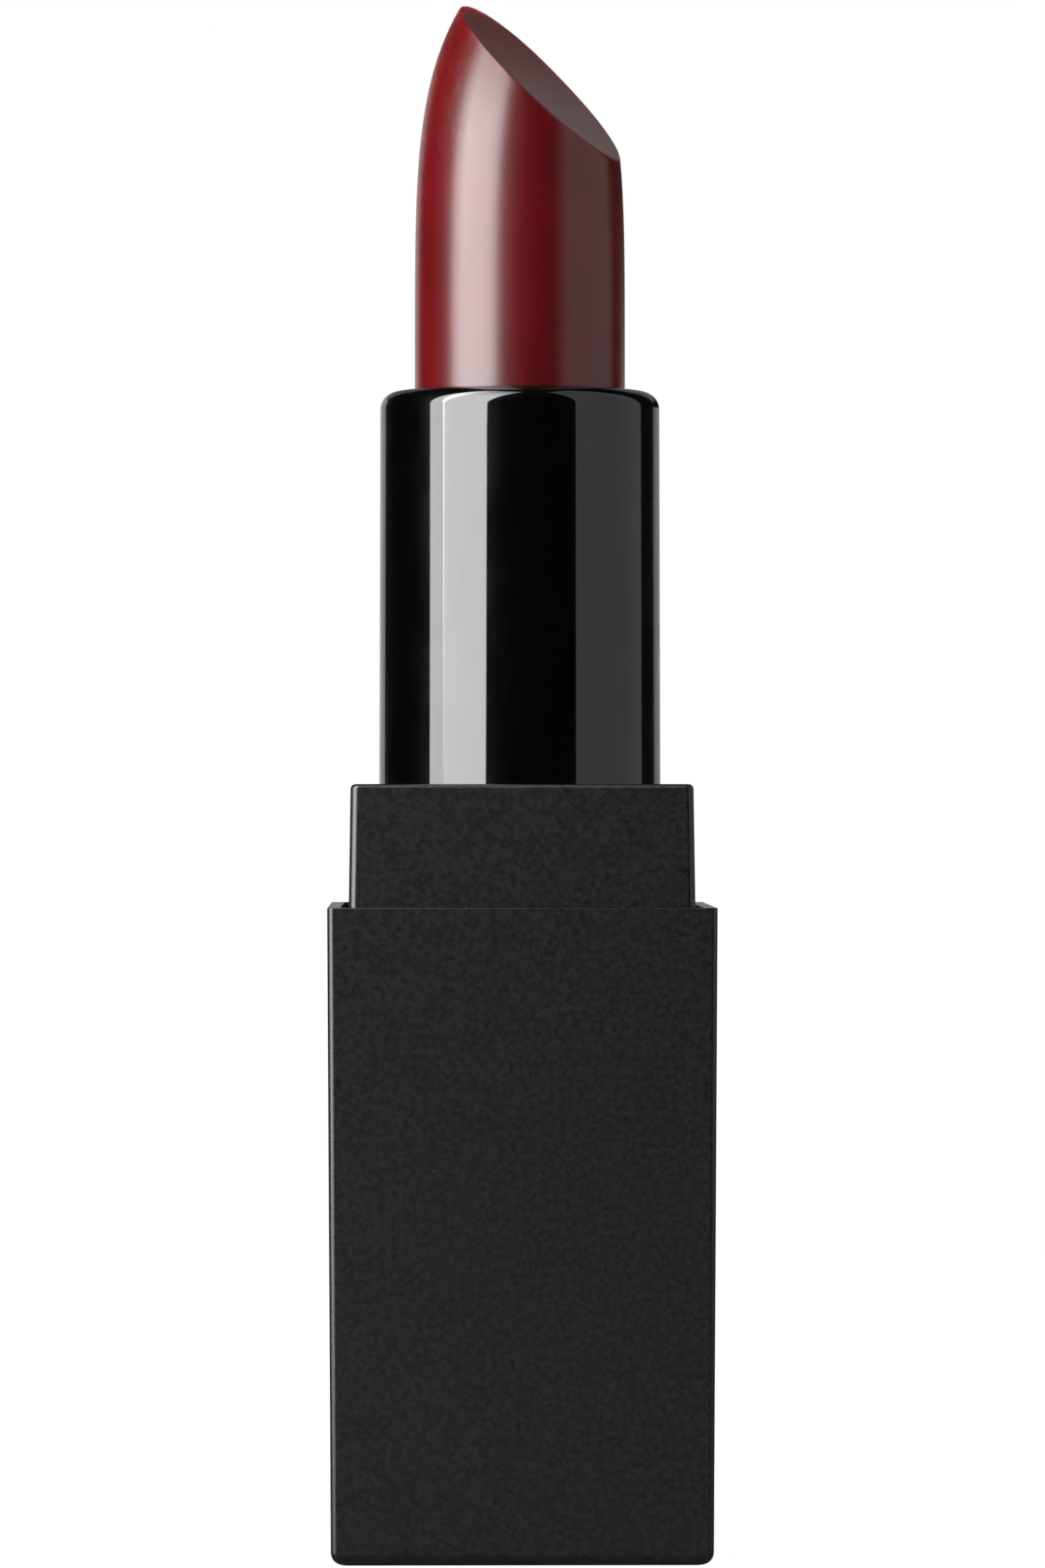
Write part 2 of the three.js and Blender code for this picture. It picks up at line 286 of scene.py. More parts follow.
def soft_touch_black(name, corner_at):
    """Matte lacquer: fine grain, mottling, a few pale specks, and upright edges polished by fingers."""
    base = bpy.context.scene.case_colours.soft_touch
    finish = Finish(name, Specular_IOR_Level=0.5)
    cloud = finish.noise(2.4, 3.0, 0.6)
    mottle = finish.noise(0.35, 3.0, 0.7)
    grain = finish.noise(0.1, 2.0, 0.6)
    lint = finish.specks(2.4, 0.022, 0.08)
    tone = finish.band(mottle * 0.6 + grain * 0.4, 0.4, 0.6)
    finish.feed("Base Color", finish.blend(
        finish.blend(shade(base, 0.2), shade(base, 1.8), tone), LINT, lint))
    across = abs(finish.channel(finish.place, 0))
    along = abs(finish.channel(finish.place, 1))
    rubbed_from = corner_at * 0.955
    rubbed = finish.band(across, rubbed_from, corner_at) * finish.band(along, rubbed_from, corner_at)
    # kept above about 0.27: a noise filter treats anything smoother as shiny, which would leave a line
    finish.feed("Roughness", 0.262 + 0.03 * cloud + 0.1 * mottle - 0.02 * rubbed)
    finish.feed("Normal", finish.bump(grain, 0.002, 0.3, finish.bump(mottle, 0.01, 0.3)))
    return finish.material


def gloss_black():
    """Polished black plastic with slow mould waves, a smeared haze from wiping and a few specks of dust."""
    base = bpy.context.scene.case_colours.gloss
    finish = Finish("gloss_black", Specular_IOR_Level=0.5, Coat_IOR=1.13, Coat_Roughness=0.3)
    smear = finish.noise(3.2, 5.0, 0.68, finish.stretched((1, 1, 0.45)), 0.6)
    dust = finish.specks(1.5, 0.045, 0.05)
    finish.feed("Base Color", finish.blend(base, DUST, dust))
    finish.feed("Roughness", 0.03 + 0.02 * smear + 0.4 * dust)
    finish.feed("Coat Weight", 0.25 + 0.75 * finish.band(smear, 0.36, 0.66))
    waves = finish.noise(9.0, 1.0, 0.4, finish.stretched((1, 1, 0.6)))
    finish.feed("Normal", finish.bump(dust, 0.01, 0.4, finish.bump(waves, 0.03, 0.5)))
    return finish.material


def lipstick_wax():
    """Cast dark red wax: satin skin that dulls towards the tip, slow unevenness, pin pricks painted darker
    as shade in their pits, drawn lines and a crinkled patch near the tip."""
    base = bpy.context.scene.case_colours.wax
    finish = Finish("lipstick_wax", Specular_IOR_Level=0.15, Coat_IOR=1.5, Coat_Roughness=0.25,
                    Subsurface_Weight=0.85, Subsurface_Radius=(1.0, 0.12, 0.1), Subsurface_Scale=0.004)
    cloud = finish.noise(4.0, 3.0, 0.55)
    drawn = finish.noise(0.5, 3.0, 0.6, finish.stretched((1, 1, 0.06)))
    skin = finish.noise(0.16, 2.0, 0.5)
    pits_and_pit_shade = finish.specks(1.1, 0.05, 0.12)
    tone = finish.blend(shade(base, 0.88), shade(base, 1.12), finish.band(cloud, 0.35, 0.65))
    # painted shade: the pin pricks' pits are coloured darker than the wax around them
    finish.feed("Base Color", finish.blend(tone, shade(base, 0.55), pits_and_pit_shade))
    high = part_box("bullet")[1].z
    worn = finish.band(finish.channel(finish.place, 2), high - 8.5 * MM, high - 0.5 * MM)
    # kept above about 0.27 for the same reason as the soft-touch black
    finish.feed("Roughness", 0.29 + 0.05 * cloud + 0.04 * drawn + 0.06 * worn)
    finish.feed("Coat Weight", 0.74 - 0.69 * worn)
    upper = finish.band(finish.channel(finish.place, 2), high - 11 * MM, high - 8 * MM)
    left = finish.band(finish.channel(finish.place, 0), -1.2 * MM, -2.4 * MM)
    crinkle = finish.noise(0.8, 4.0, 0.7, distortion=2.5) * upper * left
    relief = finish.bump(drawn, 0.003, 0.3, finish.bump(cloud, 0.012, 0.4))
    relief = finish.bump(crinkle, 0.05, 0.8, finish.bump(skin, 0.003, 0.5, relief))
    finish.feed("Normal", finish.bump(1 - pits_and_pit_shade, 0.012, 0.6, relief))
    return finish.material


def moulded_plastic(name, base, sheen_low, sheen_high):
    """Moulded plastic with flow marks and a fine mould texture."""
    finish = Finish(name, Specular_IOR_Level=0.5)
    flow = finish.noise(3.5, 4.0, 0.6, finish.stretched((1, 1, 0.3)))
    grain = finish.noise(0.12, 2.0, 0.5)
    finish.feed("Base Color", finish.blend(shade(base, 0.86), shade(base, 1.08), finish.band(flow, 0.3, 0.7)))
    finish.feed("Roughness", sheen_low + (sheen_high - sheen_low) * flow + 0.05 * grain)
    finish.feed("Normal", finish.bump(grain, 0.004, 0.4, finish.bump(flow, 0.02, 0.25)))
    return finish.material


def greased_rubber():
    """Black rubber with a thin uneven film of grease."""
    finish = Finish("ring_rubber", Specular_IOR_Level=0.5)
    film = finish.noise(0.9, 3.0, 0.6)
    grain = finish.noise(0.1, 2.0, 0.6)
    base = bpy.context.scene.case_colours.rubber
    finish.feed("Base Color", finish.blend(shade(base, 0.8), shade(base, 1.4), grain))
    finish.feed("Roughness", 0.35 + 0.4 * film)
    finish.feed("Normal", finish.bump(grain, 0.006, 0.5))
    return finish.material


def turned_steel():
    """Zinc-coated steel with the rings a lathe leaves and a little bloom."""
    finish = Finish("weight_steel", Metallic=1.0)
    across = finish.channel(finish.place, 0)
    along = finish.channel(finish.place, 1)
    radius = (across * across + along * along) ** 0.5
    rings = finish.node("ShaderNodeMath", {"operation": "SINE"}, {0: radius * (PER_MM * 40)})
    bloom = finish.noise(2.4, 5.0, 0.7)
    base = bpy.context.scene.case_colours.steel
    finish.feed("Base Color", finish.blend(shade(base, 0.8), shade(base, 1.15), finish.band(bloom, 0.3, 0.7)))
    finish.feed("Roughness", 0.28 + 0.2 * bloom + 0.03 * rings)
    finish.feed("Normal", finish.bump(rings, 0.002, 0.5))
    return finish.material


def label_film():
    """Blank satin film with the faint ripple of its adhesive."""
    finish = Finish("label_film", Specular_IOR_Level=0.5, Coat_Roughness=0.2)
    ripple = finish.noise(1.8, 3.0, 0.55)
    fibre = finish.noise(0.2, 2.0, 0.5)
    base = bpy.context.scene.case_colours.film
    finish.feed("Base Color", finish.blend(shade(base, 0.85), shade(base, 1.35), fibre))
    finish.feed("Roughness", 0.3 + 0.12 * ripple)
    finish.feed("Normal", finish.bump(ripple, 0.012, 0.35))
    return finish.material


# ---- Modelling moves -----------------------------------------------------------------------------


def put_tools_down():
    """Object mode with nothing selected."""
    if bpy.context.object is not None and bpy.context.object.mode != "OBJECT":
        bpy.ops.object.mode_set(mode="OBJECT")
    bpy.ops.object.select_all(action="DESELECT")


def take_up(piece):
    """Makes a piece the only selected and active one."""
    put_tools_down()
    piece.select_set(True)
    bpy.context.view_layer.objects.active = piece


def arc(centre, height, size, start, end, steps):
    """(reach, height) points along part of a circle, angles in degrees from level, end points included."""
    angles = [math.radians(start + (end - start) * step / steps) for step in range(steps + 1)]
    return [(centre + size * math.cos(angle), height + size * math.sin(angle)) for angle in angles]


def raise_outline(profile):
    """Draws the selected outline through (reach, height) points: each step extrudes it, then resizes it."""
    for (reach, height), (next_reach, next_height) in pairwise(profile):
        rise = {"value": (0, 0, next_height - height)}
        bpy.ops.mesh.extrude_region_move(TRANSFORM_OT_translate=rise)
        grow = next_reach / reach
        bpy.ops.transform.resize(value=(grow, grow, 1), center_override=(0, 0, next_height))


def open_for_editing(name):
    """Names the primitive just added, puts its place into its mesh and selects all of it in edit mode."""
    bpy.ops.object.transform_apply(location=True, rotation=True, scale=True)
    piece = bpy.context.object
    piece.name = name
    bpy.ops.object.mode_set(mode="EDIT")
    bpy.ops.mesh.select_all(action="SELECT")
    return piece


def close_seams(piece):
    """Merges doubled points and turns every face outwards."""
    take_up(piece)
    bpy.ops.object.mode_set(mode="EDIT")
    bpy.ops.mesh.select_all(action="SELECT")
    bpy.ops.mesh.remove_doubles(threshold=1e-7)
    bpy.ops.mesh.normals_make_consistent(inside=False)
    bpy.ops.object.mode_set(mode="OBJECT")


def turn(name, profile, steps, fill):
    """Draws a circle up through a profile about the axis."""
    put_tools_down()
    reach, height = profile[0]
    bpy.ops.mesh.primitive_circle_add(
        vertices=steps, radius=reach, location=(0, 0, height), fill_type=fill)
    piece = open_for_editing(name)
    raise_outline(profile)
    close_seams(piece)
    return piece


def round_body(name, profile, steps=144):
    """A turned piece, solid on the axis at both ends."""
    return turn(name, profile, steps, "NGON")


def round_ring(name, profile, steps):
    """A turned ring: an open circle goes round a closed profile and is sewn to its start."""
    return turn(name, [*profile, profile[0]], steps, "NOTHING")


def square_body(name, corner, profile, corner_steps=8):
    """A square piece with rounded upright edges: its bottom face is drawn up through the profile."""
    put_tools_down()
    half, height = profile[0]
    bpy.ops.mesh.primitive_plane_add(size=2 * half, location=(0, 0, height))
    piece = open_for_editing(name)
    bpy.ops.mesh.bevel(offset=corner, offset_type="OFFSET", segments=corner_steps, affect="VERTICES")
    bpy.ops.mesh.select_all(action="SELECT")
    raise_outline(profile)
    close_seams(piece)
    return piece


def combine(piece, other, operation):
    """Adds another piece's shape to this one, or takes it away, and throws the other piece away."""
    take_up(piece)
    boolean = piece.modifiers.new("combine", "BOOLEAN")
    boolean.operation = operation
    boolean.solver = "EXACT"
    boolean.object = other
    bpy.ops.object.modifier_apply(modifier=boolean.name)
    bpy.data.objects.remove(other)
    return piece


def smooth_shading(piece, angle=35):
    """Smooth shading that keeps flat faces flat."""
    take_up(piece)
    bpy.ops.object.shade_smooth_by_angle(angle=math.radians(angle))
    weight = piece.modifiers.new("flat faces", "WEIGHTED_NORMAL")
    weight.keep_sharp = True
    bpy.ops.object.modifier_apply(modifier=weight.name)


def assemble(piece, body, slot, material, *nodes):
    """Finishes a new piece: its material, the body it rides on and the solids it stands for."""
    piece.data.materials.clear()
    piece.data.materials.append(material)
    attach(piece, body)
    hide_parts(*nodes)


def reach_of(node):
    """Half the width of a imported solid."""
    low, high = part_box(node)
    return (high.x - low.x) / 2


# ---- The pieces ----------------------------------------------------------------------------------


class LIPSTICK_OT_base_shell(bpy.types.Operator):
    """The square outer shell: rolled foot, drafted walls, thin open rim and a round recess below"""

    bl_idname = "lipstick.base_shell"
    bl_label = "Base shell"

    def execute(self, context):
        sizes = context.scene.case_sizes
        low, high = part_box("base_shell")
        rim = reach_of("base_shell")
        foot = rim - sizes.shell_draft / 2
        roll = sizes.foot_roll
        break_edge = sizes.rim_break
        inner = rim - sizes.shell_wall
        floor = low.z + sizes.shell_floor
        fillet = 0.4 * MM
        profile = [
            *arc(foot - roll, low.z + roll, roll, -90, 0, 12),
            *arc(rim - break_edge, high.z - break_edge, break_edge, 0, 90, 4),
            *arc(inner + break_edge, high.z - break_edge, break_edge, 90, 180, 4),
            *arc(inner - sizes.shell_draft / 2 - fillet, floor + fillet, fillet, 0, -90, 5),
        ]
        # a corner grows with the outline, which starts narrower than the rim
        corner_at_foot = sizes.shell_corner * 0.93
        shell = square_body("base_shell_fine", corner_at_foot, profile)
        label_clearance = 0.12 * MM
        recess_radius = reach_of("bottom_label") + label_clearance
        depth = sizes.recess_depth
        chamfer = 0.08 * MM
        cutter = round_body("recess_cutter", [
            (recess_radius + chamfer, low.z - chamfer), (recess_radius + chamfer, low.z),
            (recess_radius, low.z + chamfer), (recess_radius, low.z + depth),
        ])
        combine(shell, cutter, "DIFFERENCE")
        smooth_shading(shell)
        assemble(shell, "base", "soft_touch_black", soft_touch_black("soft_touch_shell", rim), "base_shell")
        return {"FINISHED"}


class LIPSTICK_OT_bottom_label(bpy.types.Operator):
    """The blank label under the foot, with a pressed ring near its edge"""

    bl_idname = "lipstick.bottom_label"
    bl_label = "Bottom label"

    def execute(self, context):
        low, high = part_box("bottom_label")
        radius = reach_of("bottom_label")
        edge = 0.04 * MM
        ring, ring_width, ring_depth = radius * 0.86, 0.3 * MM, 0.03 * MM
        profile = [
            (ring - ring_width, low.z), (ring - ring_width * 0.8, low.z + ring_depth),
            (ring - ring_width * 0.2, low.z + ring_depth), (ring, low.z),
            *arc(radius - edge, low.z + edge, edge, -90, 0, 4),
            *arc(radius - edge, high.z - edge, edge, 0, 90, 4),
        ]
        label = round_body("bottom_label_fine", profile)
        smooth_shading(label, 50)
        assemble(label, "base", "label_foil", label_film(), "bottom_label")
        return {"FINISHED"}


class LIPSTICK_OT_collar_insert(bpy.types.Operator):
    """The square collar on its wider foot, bored for the turning tube and the guide tube"""

    bl_idname = "lipstick.collar_insert"
    bl_label = "Collar insert"

    def execute(self, context):
        sizes = context.scene.case_sizes
        low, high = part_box("collar_insert")
        rim_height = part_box("base_shell")[1].z
        shoulder = rim_height - sizes.groove_depth
        wide = reach_of("collar_insert")
        draft = sizes.shell_draft / 2 * (shoulder - low.z) / rim_height
        rim_half = sizes.collar_width / 2
        top_half = rim_half - sizes.collar_draft / 2
        roll = sizes.collar_top_roll
        edge = 0.08 * MM
        mouth_floor = high.z - 0.6 * MM
        foot_half = rim_half + sizes.collar_draft / 2 * sizes.groove_depth / (high.z - rim_height)
        profile = [
            *arc(wide - draft - edge, low.z + edge, edge, -90, 0, 3),
            *arc(wide - edge, shoulder - edge, edge, 0, 90, 3),
            (foot_half, shoulder),
            (rim_half, rim_height),
            *arc(top_half - roll, high.z - roll, roll, 0, 90, 8),
        ]
        collar = square_body("collar_insert_fine", sizes.collar_corner, profile)
        combine(collar, self.pockets(sizes, top_half, low, high), "DIFFERENCE")
        guide_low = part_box("inner_body")[0].z
        bore_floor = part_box("tube_bearing")[0].z
        chamfer = 0.14 * MM
        bore = sizes.collar_bore
        cutter = round_body("bore_cutter", [
            (sizes.well, low.z - MM), (sizes.well, guide_low),
            (sizes.socket, guide_low), (sizes.socket, bore_floor),
            (bore, bore_floor), (bore, mouth_floor), (bore, high.z - chamfer),
            (bore + chamfer, high.z), (bore + chamfer, high.z + MM),
        ])
        combine(collar, cutter, "DIFFERENCE")
        smooth_shading(collar)
        assemble(collar, "base", "soft_touch_black",
                 soft_touch_black("soft_touch_collar", rim_half), "collar_insert")
        return {"FINISHED"}

    def pockets(self, sizes, top_half, low, high):
        """A cutter for the four corner pockets, open from below: a square post without its round core."""
        half = top_half - sizes.pocket_wall
        roof = high.z - sizes.pocket_roof
        post = square_body("pocket_cutter", sizes.collar_corner, [(half, low.z - MM), (half, roof)])
        barrel = sizes.pocket_barrel
        core = round_body("barrel_core", [(barrel, low.z - 2 * MM), (barrel, roof + MM)])
        return combine(post, core, "DIFFERENCE")


class LIPSTICK_OT_outer_tube(bpy.types.Operator):
    """The polished turning tube with its fully rounded mouth"""

    bl_idname = "lipstick.outer_tube"
    bl_label = "Outer tube"

    def execute(self, context):
        sizes = context.scene.case_sizes
        low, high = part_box("outer_tube")
        foot = reach_of("outer_tube")
        top = foot - sizes.tube_draft
        lip = sizes.tube_lip
        mouth = sizes.tube_mouth
        mouth_edge = 0.22 * MM
        foot_break = 0.2 * MM
        bore = sizes.tube_bore
        under_lip = high.z - 1.28 * MM
        seat, seat_top = sizes.ring_seat, low.z + sizes.ring_seat_height
        shoulder = high.z - lip
        straight = [
            (foot - (foot - top) * share, low.z + foot_break + (shoulder - low.z - foot_break) * share)
            for share in (0, 0.2, 0.4, 0.6, 0.8, 0.96)
        ]
        profile = [
            (seat, low.z), (foot - foot_break, low.z), *straight,
            *arc(top - lip, shoulder, lip, 0, 90, 20),
            *arc(mouth + mouth_edge, high.z - mouth_edge, mouth_edge, 90, 180, 8),
            (mouth, under_lip), (bore, under_lip), (bore, seat_top), (seat, seat_top),
        ]
        tube = round_ring("outer_tube_fine", profile, 192)
        smooth_shading(tube)
        assemble(tube, "sleeve", "gloss_black", gloss_black(), "outer_tube")
        return {"FINISHED"}


class LIPSTICK_OT_bullet(bpy.types.Operator):
    """The wax stick: an ogive cut on a slant, with a rounded edge around a slightly hollow face"""

    bl_idname = "lipstick.bullet"
    bl_label = "Stick"

    AROUND = 192
    SIDE_ROWS = 84
    EDGE_ROWS = 7
    FACE_ROWS = 26

    def execute(self, context):
        sizes = context.scene.case_sizes
        low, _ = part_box("bullet")
        edge = 0.3 * MM
        radius = sizes.stick_radius
        step = 0.2 * MM
        rows = self.SIDE_ROWS + self.EDGE_ROWS + self.FACE_ROWS
        profile = [
            *arc(radius - edge, low.z + edge, edge, -90, 0, 4),
            *[(radius, sizes.stick_start + step * row) for row in range(rows + 1)],
        ]
        stick = round_body("bullet_fine", profile, self.AROUND)
        for vertex in stick.data.vertices:
            row = round((vertex.co.z - sizes.stick_start) / step)
            if row > 0:
                vertex.co = self.point_at(sizes, math.atan2(vertex.co.y, vertex.co.x), row)
        smooth_shading(stick, 60)
        assemble(stick, "carrier", "lipstick_wax", lipstick_wax(), "bullet")
        return {"FINISHED"}

    def point_on_side(self, sizes, azimuth, height):
        """A point of the uncut stick. Its left side closes as the round section shifts to the right, and its
        right side narrows a little."""
        radius = sizes.stick_radius
        rise = min(max((height - sizes.stick_start) / sizes.stick_length, 0), 1)
        shift = radius * (1 - (1 - rise ** sizes.stick_fullness) ** (1 / sizes.stick_pull))
        chord = math.sqrt(radius ** 2 - (shift * math.sin(azimuth)) ** 2)
        left = radius - shift * math.cos(azimuth) - chord
        right = sizes.stick_narrowing * shift * max(0, math.cos(azimuth)) ** 6
        reach = radius - (left + right + math.hypot(left - right, sizes.stick_softness * shift)) / 2
        return Vector((reach * math.cos(azimuth), reach * math.sin(azimuth), height))

    def cut_height(self, sizes, azimuth):
        """Where the slanted cut meets the stick's side, found by halving."""
        turn = sizes.slant_turn
        fall = Vector((math.cos(turn), -math.sin(turn), 0)) * math.tan(sizes.slant_steepness)
        low, high = sizes.stick_start, sizes.stick_start + sizes.stick_length
        for _ in range(40):
            middle = (low + high) / 2
            if middle < sizes.slant_height - fall.dot(self.point_on_side(sizes, azimuth, middle)):
                low = middle
            else:
                high = middle
        return low

    def point_at(self, sizes, azimuth, row):
        """A point of the stick's upper part: rows climb the side, turn over the edge and cross the face."""
        downhill = (1 + math.cos(azimuth + sizes.slant_turn)) / 2
        setback = sizes.slant_edge + sizes.slant_heel * downhill ** 4 + sizes.slant_tip * (1 - downhill) ** 6
        cut = self.cut_height(sizes, azimuth)
        side_end = cut - setback
        if row <= self.SIDE_ROWS:
            climbed = (side_end - sizes.stick_start) * row / self.SIDE_ROWS
            return self.point_on_side(sizes, azimuth, sizes.stick_start + climbed)
        centre = Vector((0, 0, sizes.slant_height))
        corner = self.point_on_side(sizes, azimuth, cut)
        side_point = self.point_on_side(sizes, azimuth, side_end)
        face_point = corner + (centre - corner).normalized() * setback
        row -= self.SIDE_ROWS
        if row <= self.EDGE_ROWS:
            share = row / self.EDGE_ROWS
            return side_point.lerp(corner, share).lerp(corner.lerp(face_point, share), share)
        share = (row - self.EDGE_ROWS) / (self.FACE_ROWS + 0.3)
        hollow = Vector((0, 0, sizes.slant_hollow * (1 - (1 - share) ** 2)))
        return face_point.lerp(centre, share) - hollow


class LIPSTICK_OT_bullet_cup(bpy.types.Operator):
    """The elevator cup: thin wall, softened edges and two round lugs"""

    bl_idname = "lipstick.bullet_cup"
    bl_label = "Bullet cup"

    def execute(self, context):
        low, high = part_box("bullet_cup")
        lug_reach = reach_of("bullet_cup")
        outer = (high.y - low.y) / 2
        grip_clearance = 0.03 * MM
        inner = context.scene.case_sizes.stick_radius + grip_clearance
        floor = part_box("bullet")[0].z
        edge = 0.3 * MM
        lip = 0.08 * MM
        profile = [
            *arc(outer - edge, low.z + edge, edge, -90, 0, 5),
            *arc(outer - lip, high.z - lip, lip, 0, 90, 4),
            (inner + lip, high.z), (inner, high.z - lip), (inner, floor),
        ]
        cup = round_body("bullet_cup_fine", profile, 128)
        lug_height = low.z + 2.1 * MM
        self.add_lugs(cup, lug_height, outer, lug_reach)
        smooth_shading(cup, 50)
        natural = moulded_plastic("cup_plastic", context.scene.case_colours.natural, 0.25, 0.45)
        assemble(cup, "carrier", "mechanism_plastic", natural, "bullet_cup")
        return {"FINISHED"}

    def add_lugs(self, cup, height, outer, lug_reach):
        """Joins a short round lug to each side of the cup."""
        radius, overlap, round_off, tolerance = 0.72 * MM, 0.15 * MM, 0.12 * MM, 0.01 * MM
        reach = lug_reach - outer + overlap
        for side in (1, -1):
            put_tools_down()
            bpy.ops.mesh.primitive_cylinder_add(
                vertices=48, radius=radius, depth=reach,
                location=(side * (lug_reach - reach / 2), 0, height), rotation=(0, math.pi / 2, 0))
            lug = open_for_editing("lug")
            bpy.ops.mesh.select_all(action="DESELECT")
            mesh = bmesh.from_edit_mesh(lug.data)
            for edge in mesh.edges:
                edge.select_set(all(vert.co.x * side > lug_reach - tolerance for vert in edge.verts))
            bmesh.update_edit_mesh(lug.data)
            bpy.ops.mesh.bevel(offset=round_off, segments=4, affect="EDGES")
            bpy.ops.object.mode_set(mode="OBJECT")
            combine(cup, lug, "UNION")


class LIPSTICK_OT_mechanism(bpy.types.Operator):
    """Finishes for the pieces inside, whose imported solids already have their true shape"""

    bl_idname = "lipstick.mechanism"
    bl_label = "Inner pieces"

    def execute(self, context):
        colours = context.scene.case_colours
        natural = moulded_plastic("mechanism_plastic", colours.natural, 0.28, 0.5)
        finishes = {
            "inner_body": natural,
            "tube_bearing": natural,
            "spiral_sleeve": moulded_plastic("sleeve_plastic", colours.sleeve, 0.35, 0.6),
            "drag_ring": greased_rubber(),
            "base_weight": turned_steel(),
        }
        for node, finish in finishes.items():
            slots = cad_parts[node].data.materials
            slots.clear()
            slots.append(finish)
        return {"FINISHED"}


# ---- The studio ----------------------------------------------------------------------------------


class LIPSTICK_OT_studio(bpy.types.Operator):
    """Pale floor, white backdrop, tall softbox, grey card and the camera"""

    bl_idname = "lipstick.studio"
    bl_label = "Studio"

    def execute(self, context):
        settings = context.scene.studio_settings
        context.scene.view_settings.view_transform = "Standard"
        self.make_room(context.scene, settings.room)
        self.lay_floor()
        self.set_camera(context.scene, settings)
        # a panel's numbers are its span of angles, its distance from the axis, its top and its brightness;
        # angles are measured from straight towards the camera, positive to its right
        key = self.hang_light("key_softbox", (-28.5, -65.5), 0.45, 0.8, settings.key, lean=settings.lean)
        key_rim = self.hang_light("key_rim", (-65.5, -79), 0.45, 0.8, settings.key_rim, lean=settings.lean)
        for light in (key, key_rim):
            self.dim(light.data, "Y", 0.5, settings.key_fade)
            light.visible_diffuse = False
        soft_key = self.hang_light("soft_key", (-28, -79), 0.45, 0.5, 1.33 * settings.key)
        soft_fill = self.hang_light("soft_fill", (60, 130), 0.4, 0.5, settings.warmth)
        soft_key.visible_glossy = soft_fill.visible_glossy = False
        card = self.hang_light("grey_card", (45.5, 117.3), 0.35, 1.2, settings.fill)
        self.dim(card.data, "X", 0.0, settings.fill_fade)
        self.hang_light("backdrop", (168, 192), 1.0, 0.3, settings.backdrop)
        self.hang_light("sky", (148, 208), 1.0, 0.9, settings.sky, bottom=0.3)
        self.hang_light("right_wing", (143, 168), 1.0, 0.13, settings.right_wing)
        self.hang_light("left_wing", (-147, -168), 1.0, 0.3, settings.left_wing)
        return {"FINISHED"}

    def make_room(self, scene, grey):
        """A white surround for the camera and a dark room for the lights' bounces."""
        world = bpy.data.worlds.new("studio")
        world.use_nodes = True
        scene.world = world
        tree = world.node_tree
        background = tree.nodes["Background"]
        path = tree.nodes.new("ShaderNodeLightPath")
        brightness = tree.nodes.new("ShaderNodeMapRange")
        brightness.inputs["To Min"].default_value = grey
        brightness.inputs["To Max"].default_value = 1.0
        tree.links.new(path.outputs["Is Camera Ray"], brightness.inputs["Value"])
        background.inputs["Color"].default_value = (1, 1, 1, 1)
        tree.links.new(brightness.outputs["Result"], background.inputs["Strength"])

    def lay_floor(self):
        """A pale disc that fades into the white surround."""
        put_tools_down()
        bpy.ops.mesh.primitive_circle_add(vertices=96, radius=0.6, location=(0, 0, 0), fill_type="NGON")
        floor = bpy.context.object
        floor.name = "floor"
        finish = Finish("pale_floor", Roughness=0.9, Specular_IOR_Level=0.0, Emission_Strength=0.95)
        finish.feed("Base Color", (0.12, 0.12, 0.12))
        finish.feed("Emission Color", finish.node("ShaderNodeLightPath", output="Is Camera Ray"))
        across = finish.channel(finish.place, 0)
        along = finish.channel(finish.place, 1)
        radius = (across * across + along * along) ** 0.5
        finish.feed("Alpha", finish.band(radius, 0.3, 0.12))
        floor.data.materials.append(finish.material)

    def set_camera(self, scene, settings):
        """A level camera that looks past the case's axis by a hair."""
        data = bpy.data.cameras.new("camera")
        data.sensor_fit = "VERTICAL"
        data.sensor_height = 36
        data.lens = settings.lens
        data.clip_start = 0.01
        camera = bpy.data.objects.new("camera", data)
        scene.collection.objects.link(camera)
        yaw = settings.camera_yaw
        back = Vector((-math.sin(yaw), -math.cos(yaw), 0)) * settings.camera_distance
        right = Vector((math.cos(yaw), -math.sin(yaw), 0)) * settings.camera_offset
        camera.location = back + right + Vector((0, 0, settings.camera_height))
        camera.rotation_euler = (math.pi / 2, 0, -yaw)
        scene.camera = camera

    def hang_light(self, name, angles, distance, top, brightness, bottom=-20 * MM, lean=0.0):
        """An upright panel that spans two angles around the case, unseen by the camera. It may lean over the
        case about its level line at the lens's height."""
        start, end = (math.radians(angle) for angle in angles)
        middle = (start + end) / 2
        width = 2 * distance * math.tan(abs(end - start) / 2)
        data = bpy.data.lights.new(name, "AREA")
        data.shape = "RECTANGLE"
        data.size = width
        data.size_y = top - bottom
        data.energy = brightness * math.pi * width * (top - bottom)
        light = bpy.data.objects.new(name, data)
        outwards = Vector((math.sin(middle), -math.cos(middle), 0))
        hinge = outwards * distance + Vector((0, 0, bpy.context.scene.studio_settings.camera_height))
        up = Vector((0, 0, math.cos(lean))) - outwards * math.sin(lean)
        light.location = hinge + up * ((top + bottom) / 2 - hinge.z)
        facing = -outwards * math.cos(lean) - Vector((0, 0, math.sin(lean)))
        light.rotation_euler = facing.to_track_quat("-Z", "Y").to_euler()
        light.visible_camera = False
        bpy.context.scene.collection.objects.link(light)
        return light

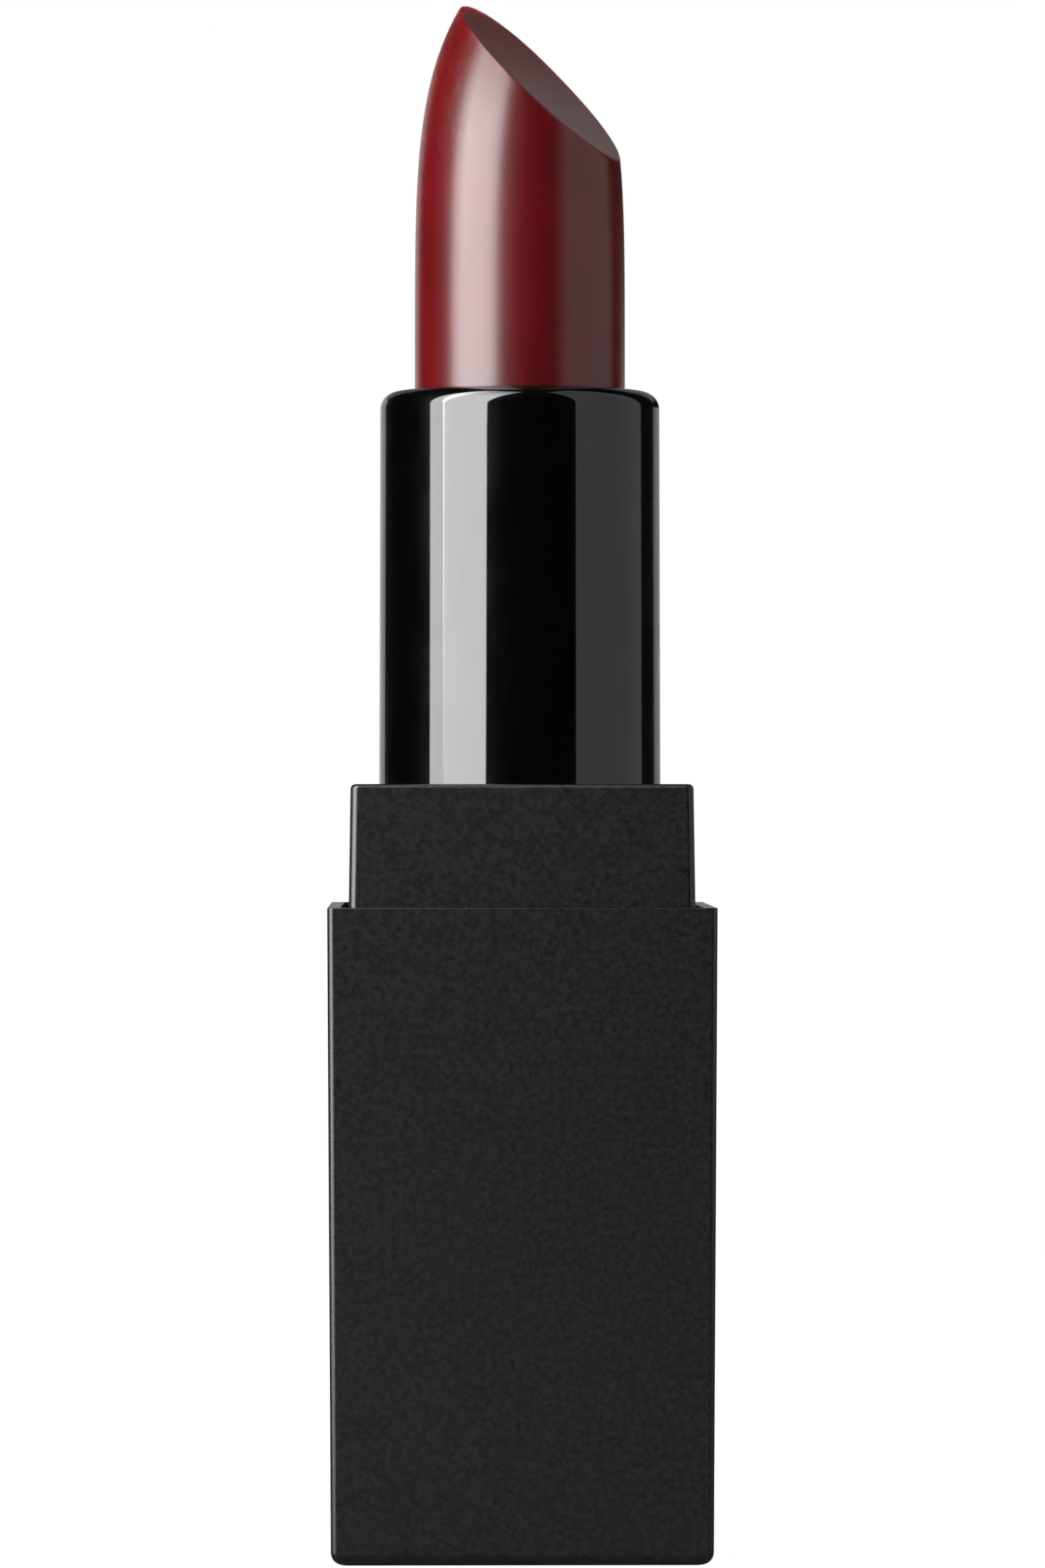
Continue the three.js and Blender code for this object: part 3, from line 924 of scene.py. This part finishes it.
    def dim(self, data, axis, start, share):
        """Lets a panel's brightness fall to a share of itself along one of its axes, from a start on."""
        data.use_nodes = True
        tree = data.node_tree
        place = tree.nodes.new("ShaderNodeNewGeometry")
        along = tree.nodes.new("ShaderNodeSeparateXYZ")
        strength = tree.nodes.new("ShaderNodeMapRange")
        strength.inputs["From Min"].default_value = start
        strength.inputs["To Min"].default_value = 1.0
        strength.inputs["To Max"].default_value = share
        tree.links.new(place.outputs["Parametric"], along.inputs[0])
        tree.links.new(along.outputs[axis], strength.inputs["Value"])
        tree.links.new(strength.outputs["Result"], tree.nodes["Emission"].inputs["Strength"])


# ---- The add-on ----------------------------------------------------------------------------------

OPERATORS = (
    LIPSTICK_OT_base_shell,
    LIPSTICK_OT_bottom_label,
    LIPSTICK_OT_collar_insert,
    LIPSTICK_OT_outer_tube,
    LIPSTICK_OT_bullet,
    LIPSTICK_OT_bullet_cup,
    LIPSTICK_OT_mechanism,
    LIPSTICK_OT_studio,
)


class LIPSTICK_PT_panel(bpy.types.Panel):
    """Lists the pieces and the sizes, colours and lights behind them"""

    bl_idname = "LIPSTICK_PT_panel"
    bl_label = "Lipstick Case"
    bl_space_type = "VIEW_3D"
    bl_region_type = "UI"
    bl_category = "Lipstick Case"

    def draw(self, context):
        layout = self.layout
        for operator in OPERATORS:
            layout.operator(operator.bl_idname)
        for group in ("case_sizes", "case_colours", "studio_settings"):
            settings = getattr(context.scene, group)
            box = layout.box()
            for name in settings.__annotations__:
                box.prop(settings, name)


PROPERTY_GROUPS = {
    "case_sizes": CaseSizes,
    "case_colours": CaseColours,
    "studio_settings": StudioSettings,
}
CLASSES = (*PROPERTY_GROUPS.values(), *OPERATORS, LIPSTICK_PT_panel)


def register():
    """Registers the classes and hangs the property groups on the scene."""
    for cls in CLASSES:
        bpy.utils.register_class(cls)
    for name, group in PROPERTY_GROUPS.items():
        setattr(bpy.types.Scene, name, PointerProperty(type=group))


def unregister():
    """Takes everything off again."""
    for name in PROPERTY_GROUPS:
        delattr(bpy.types.Scene, name)
    for cls in reversed(CLASSES):
        bpy.utils.unregister_class(cls)


def main():
    """Builds the pieces and the studio."""
    register()
    for operator in OPERATORS:
        group, name = operator.bl_idname.split(".")
        getattr(getattr(bpy.ops, group), name)()


if __name__ == "__main__":
    main()
